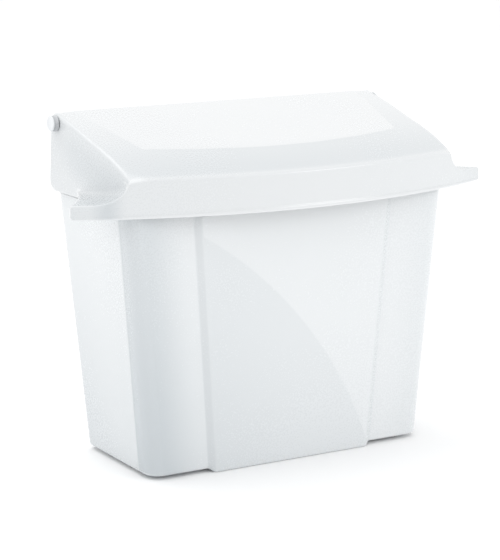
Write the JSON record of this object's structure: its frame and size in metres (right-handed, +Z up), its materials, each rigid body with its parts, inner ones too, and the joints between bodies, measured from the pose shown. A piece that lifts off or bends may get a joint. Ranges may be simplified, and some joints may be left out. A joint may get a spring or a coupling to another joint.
{
  "type": "wall-mounted waste bin",
  "caption": "Tapered plastic waste bin for a washroom wall, with a hinged lid, bowed skirt with side lifting ears, raised front panel and lift-out liner.",
  "frame": {"origin": "bottom centre of the overall box, on the plane of the feet", "axes": "+X across the front to the right as seen from the front, -Y towards the user, +Y to the wall, +Z up"},
  "size_m": [0.3342, 0.1398, 0.2467],
  "materials": {
    "white_shell": "moulded white, light gloss",
    "white_lid": "moulded white, light gloss",
    "pin_plastic": "moulded pale grey",
    "spring_steel": "plain stamped steel",
    "liner_plastic": "fine matte grey",
    "bumper_rubber": "soft matte"
  },
  "bodies": {
    "bin": {"bin_body": "white_shell", "liner": "liner_plastic"},
    "lid": {"lid": "white_lid", "hinge_pin_left": "pin_plastic", "hinge_pin_right": "pin_plastic", "pin_retainer_left": "spring_steel", "pin_retainer_right": "spring_steel", "lid_bumpers": "bumper_rubber"}
  },
  "joints": [
    {"name": "lid_hinge", "type": "hinge", "parent": "bin", "child": "lid", "pos_m": [0, 0.0609, 0.2393], "axis": [-1, 0, 0], "range_deg": [0, 100]}
  ]
}
